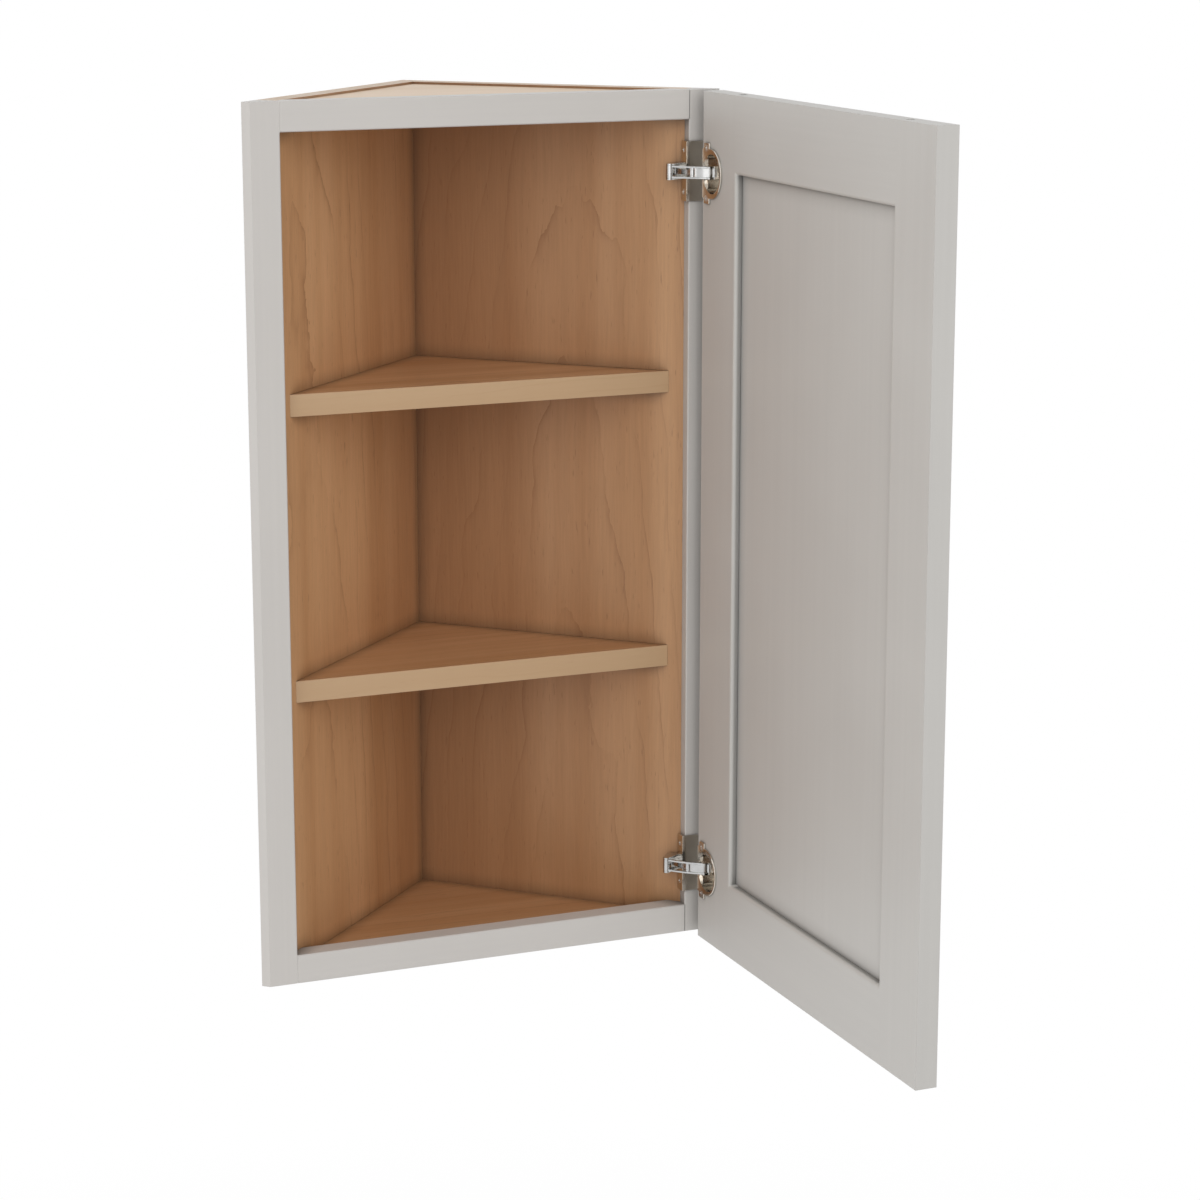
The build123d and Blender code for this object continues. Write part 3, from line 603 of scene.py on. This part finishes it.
def sink_recess(mesh, rim, props):
    """Draws a rim down into a recess that narrows, and closes its floor."""
    narrowing = 0.6
    walls = bmesh.ops.extrude_edge_only(mesh, edges=rim)["geom"]
    bmesh.ops.scale(mesh, vec=(narrowing, narrowing, 1), verts=verts_of(walls))
    bmesh.ops.translate(mesh, vec=(0, 0, -props.recess_depth), verts=verts_of(walls))
    bmesh.ops.contextual_create(mesh, geom=edges_of(walls))


def turn_down(mesh, ring, outline):
    """Draws a ring on through the radii and heights of an outline, and closes the end."""
    for radius, height in outline:
        grown = bmesh.ops.extrude_edge_only(mesh, edges=ring)["geom"]
        verts, ring = verts_of(grown), edges_of(grown)
        growth = radius / verts[0].co.xy.length
        bmesh.ops.scale(mesh, vec=(growth, growth, 1), verts=verts)
        bmesh.ops.translate(mesh, vec=(0, 0, height - verts[0].co.z), verts=verts)
    bmesh.ops.contextual_create(mesh, geom=ring)


def screw_with_cross(mesh, head_radius, sink, shank_radius, reach, props):
    """A countersunk screw down from the origin: a head with a cross recess, a cone and a pointed shank."""
    rim = cross_rim(mesh, props)
    circle = bmesh.ops.create_circle(mesh, cap_ends=False, radius=head_radius, segments=props.head_segments)
    ring = list(dict.fromkeys(edge for vertex in circle["verts"] for edge in vertex.link_edges))
    bmesh.ops.bridge_loops(mesh, edges=rim + ring)
    sink_recess(mesh, rim, props)
    point_start, point_radius = reach * 0.8, shank_radius * 0.15
    turn_down(mesh, ring, ((shank_radius, -sink), (shank_radius, -point_start), (point_radius, -reach)))
    bmesh.ops.recalc_face_normals(mesh, faces=mesh.faces)


def adjusting_screw(mesh, head_radius, reach, props):
    """A screw down from the origin: a low head with an eased rim and a cross recess, and a plain shank."""
    height, ease, radius = props.adjuster_head, props.adjuster_ease, props.adjuster_shank
    screw_with_cross(mesh, head_radius - ease, ease, head_radius, height, props)
    level, lowest = -0.9, -height * 0.9
    downward = [face for face in mesh.faces if face.normal.z < level]
    end = [face for face in downward if face.calc_center_median().z < lowest]
    bmesh.ops.delete(mesh, geom=end, context="FACES")
    shank = bmesh.ops.create_cone(mesh, cap_ends=True, segments=32, radius1=radius, radius2=radius,
                                  depth=reach - height)
    bmesh.ops.translate(mesh, vec=(0, 0, -(reach + height) / 2), verts=shank["verts"])


def screws_like(node, props):
    """A mesh with one screw for each solid of a node, head to -X and of the solid's own length and width."""
    solids = solid_corners(node)
    if not solids:
        raise ValueError(f"{node} has no solid for a screw to follow")
    whole = bmesh.new()
    for low, high in solids:
        one = bmesh.new()
        middle = (low + high) / 2
        head_radius, reach = (high.z - low.z) / 2, high.x - low.x
        if node.endswith("adjusting_screw"):
            adjusting_screw(one, head_radius, reach, props)
        else:
            shank_radius = head_radius * props.shank_share
            screw_with_cross(one, head_radius, head_radius - shank_radius, shank_radius, reach, props)
        place = Matrix.Translation((low.x, middle.y, middle.z)) @ Matrix.Rotation(-QUARTER, 4, "Y")
        bmesh.ops.transform(one, matrix=place, verts=one.verts)
        data = bpy.data.meshes.new("one_screw")
        one.to_mesh(data)
        one.free()
        whole.from_mesh(data)
        bpy.data.meshes.remove(data)
    return whole


class CABINET_OT_paint_frame(bpy.types.Operator):
    """Paint the face frame, with streaks along each member and hairlines at the joints beside the door"""

    bl_idname = "cabinet.paint_frame"
    bl_label = "Paint Face Frame"

    def execute(self, context):
        props = context.scene.cabinet_paint
        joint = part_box("frame_right_stile")[0].x
        opening = (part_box("frame_bottom_rail")[1].z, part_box("frame_top_rail")[0].z)
        common = (props, props.base, props.frame_shade_reach, opening, [("X", -joint)])
        upright = painted("frame_paint_upright", "Z", *common, front=FRONT)
        level = painted("frame_paint_level", "X", *common, hairlines=[joint], front=FRONT)
        for name in FRAME_NODES:
            finish_node(name, level if name.endswith("rail") else upright)
        return {"FINISHED"}


class CABINET_OT_paint_door(bpy.types.Operator):
    """Paint the door's members and its flat panel"""

    bl_idname = "cabinet.paint_door"
    bl_label = "Paint Door"

    def execute(self, context):
        props = context.scene.cabinet_paint
        opening = (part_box("door_bottom_rail")[1].z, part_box("door_top_rail")[0].z)
        joints = [("Y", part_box("door_hinge_stile")[0].y), ("Y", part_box("door_lock_stile")[1].y)]
        common = (props, props.door_shaded_paint, props.door_shade_reach, opening, joints)
        upright = painted("door_paint_upright", "Z", *common)
        level = painted("door_paint_level", "Y", *common)
        for name in DOOR_NODES:
            finish_node(name, level if name.endswith("rail") else upright)
        return {"FINISHED"}


class CABINET_OT_veneer_carcass(bpy.types.Operator):
    """Lay maple veneer on the walls, the shelves and the top and bottom panels"""

    bl_idname = "cabinet.veneer_carcass"
    bl_label = "Veneer Carcass"

    def execute(self, context):
        props = context.scene.cabinet_maple
        depth = props.pith_depth
        # heart: painted shade that darkens each wall towards the back corner
        # sheet: painted light, the side panel's veneer made lighter than the back panel's
        side = maple("side_maple", props, turn=(0, 0, -EIGHTH), shift=(0.02, depth, -0.9), sheet=1.28,
                     heart=(0.25, 0.10, 0.44), raw_face=OUT_LEFT, ply_edges=OUT_LEFT)
        back = maple("back_maple", props, turn=(0, 0, EIGHTH), shift=(0.06, depth - 0.01, -1.6), sheet=1.05,
                     heart=(-0.13, 0.09, 0.62), raw_face=OUT_RIGHT, ply_edges=OUT_RIGHT)
        finish_node("side_panel", side)
        finish_node("back_panel", back)
        lying = (0, -QUARTER, 0)
        for name, across, trunk, faces in (("upper_shelf", 0.02, 0.3, {"band_face": FRONT}),
                                           ("lower_shelf", 0.11, 1.3, {"band_face": FRONT}),
                                           ("top_panel", 0.0, 2.2, {"raw_face": UP}),
                                           ("bottom_panel", 0.05, 3.1, {"raw_face": -UP})):
            veneer = maple(name + "_maple", props, turn=lying, shift=(depth, across, trunk), thickness_axis=0,
                           sheet=1.10, **faces)
            finish_node(name, veneer)
        finish_node("frame_dowels", maple("dowel_beech", props, turn=lying, shift=(0.3, 0.3, 0.3)))
        return {"FINISHED"}


class CABINET_OT_plate_hinges(bpy.types.Operator):
    """Plate the hinges' cups, wings, arms and links, and turn their pins and rivets bright"""

    bl_idname = "cabinet.plate_hinges"
    bl_label = "Plate Hinges"

    def execute(self, context):
        props = context.scene.cabinet_metal
        nickel = metal("nickel_plate", props, props.nickel, roughness=0.17, polish_axis="Z", scratches=0.25)
        bright = metal("bright_plate", props, props.bright, roughness=0.20, polish_axis="X", scratches=0.25)
        steel = metal("pin_steel", props, props.steel, roughness=0.26, polish_axis="Z")
        plates = {nickel: ("cup", "frame_wing"), bright: ("arm", "short_link", "long_link"),
                  steel: ("cup_pins", "arm_pins", "arm_rivets")}
        for place in HINGES:
            for plate, names in plates.items():
                for name in names:
                    finish_node(f"{place}_hinge_{name}", plate)
        return {"FINISHED"}


class CABINET_OT_drive_screws(bpy.types.Operator):
    """Drive the hinges' screws, with cross recesses in their heads"""

    bl_idname = "cabinet.drive_screws"
    bl_label = "Drive Screws"

    def execute(self, context):
        props = context.scene.cabinet_metal
        zinc = metal("zinc_screws", props, props.zinc, roughness=0.24, polish_axis="Z")
        bodies = {"cup_screws": "door", "wing_screws": "cabinet", "adjusting_screw": "cabinet"}
        for hinge in HINGES:
            for kind, body in bodies.items():
                node = f"{hinge}_hinge_{kind}"
                made = new_object(f"{hinge}_{kind}_detailed", screws_like(node, props))
                made.data.materials.append(zinc)
                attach(made, body)
                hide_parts(node)
        return {"FINISHED"}


def set_sky(scene, stage):
    """An even sky, white where it is seen directly."""
    scene.world = bpy.data.worlds.new("studio")
    tree = Tree(scene.world)
    light = tree.add("Background", {"Color": WHITE, "Strength": stage.sky}).outputs[0]
    white = tree.add("Background", {"Color": WHITE}).outputs[0]
    tree.add("OutputWorld", {"Surface": tree.blend_shaders(tree.seen_directly(), light, white)})


def lay_floor(stage):
    """A pale floor that keeps the cabinet's shadow and turns into the white background further away."""
    ground = bmesh.new()
    bmesh.ops.create_grid(ground, x_segments=1, y_segments=1, size=stage.floor_reach)
    bmesh.ops.translate(ground, vec=(0, 0, BOX_LOW.z - stage.floor_drop), verts=ground.verts)
    floor = new_object("floor", ground)
    tree = Material("pale_floor")
    away = tree.vector("LENGTH", tree.places)
    haze = tree.ramp(away, stage.haze_from, stage.haze_to, stage.near_glow, 1.0)
    part = tree.math("MULTIPLY", tree.seen_directly(), haze)
    matt = tree.add("BsdfDiffuse", {"Color": stage.floor}).outputs[0]
    glow = tree.add("Emission", {"Color": WHITE}).outputs[0]
    tree.add("OutputMaterial", {"Surface": tree.blend_shaders(part, matt, glow)})
    floor.data.materials.append(tree.material)


def hang_lamp(name, place, size, power):
    """A square lamp that looks at the middle of the cabinet."""
    data = bpy.data.lights.new(name, "AREA")
    data.shape = "SQUARE"
    data.size = size
    data.energy = power
    made = bpy.data.objects.new(name, data)
    bpy.context.scene.collection.objects.link(made)
    made.location = place
    middle = (BOX_LOW + BOX_HIGH) / 2
    made.rotation_euler = (middle - Vector(place)).to_track_quat("-Z", "Y").to_euler()


def stand_camera(scene, stage):
    data = bpy.data.cameras.new("camera")
    data.lens = stage.lens
    camera = bpy.data.objects.new("camera", data)
    scene.collection.objects.link(camera)
    camera.location = stage.camera_place
    camera.rotation_euler = (QUARTER - stage.camera_tilt, 0, -stage.camera_turn)
    scene.camera = camera


class CABINET_OT_set_stage(bpy.types.Operator):
    """Set the sky, the floor, the lamps and the camera"""

    bl_idname = "cabinet.set_stage"
    bl_label = "Set Stage"

    def execute(self, context):
        scene, stage = context.scene, context.scene.cabinet_stage
        set_sky(scene, stage)
        lay_floor(stage)
        hang_lamp("key_lamp", stage.key_place, stage.key_size, stage.key)
        hang_lamp("fill_lamp", stage.fill_place, stage.fill_size, stage.fill)
        stand_camera(scene, stage)
        scene.view_settings.view_transform = "Standard"
        return {"FINISHED"}


OPERATORS = (CABINET_OT_paint_frame, CABINET_OT_paint_door, CABINET_OT_veneer_carcass,
             CABINET_OT_plate_hinges, CABINET_OT_drive_screws, CABINET_OT_set_stage)
GROUPS = {"cabinet_paint": CabinetPaint, "cabinet_maple": CabinetMaple, "cabinet_metal": CabinetMetal,
          "cabinet_stage": CabinetStage}


class CABINET_PT_panel(bpy.types.Panel):
    """Lists the cabinet's steps and the values that they use"""

    bl_idname = "CABINET_PT_panel"
    bl_label = "Wall End Cabinet"
    bl_space_type = "VIEW_3D"
    bl_region_type = "UI"
    bl_category = "Cabinet"

    def draw(self, context):
        for operator in OPERATORS:
            self.layout.operator(operator.bl_idname)
        for name, group in GROUPS.items():
            box = self.layout.box()
            for key in group.__annotations__:
                box.prop(getattr(context.scene, name), key)


def register():
    for kind in (*GROUPS.values(), *OPERATORS, CABINET_PT_panel):
        bpy.utils.register_class(kind)
    for name, group in GROUPS.items():
        setattr(bpy.types.Scene, name, PointerProperty(type=group))


def unregister():
    for name in GROUPS:
        delattr(bpy.types.Scene, name)
    for kind in reversed((*GROUPS.values(), *OPERATORS, CABINET_PT_panel)):
        bpy.utils.unregister_class(kind)


def main():
    register()
    bpy.ops.cabinet.paint_frame()
    bpy.ops.cabinet.paint_door()
    bpy.ops.cabinet.veneer_carcass()
    bpy.ops.cabinet.plate_hinges()
    bpy.ops.cabinet.drive_screws()
    bpy.ops.cabinet.set_stage()


if __name__ == "__main__":
    main()
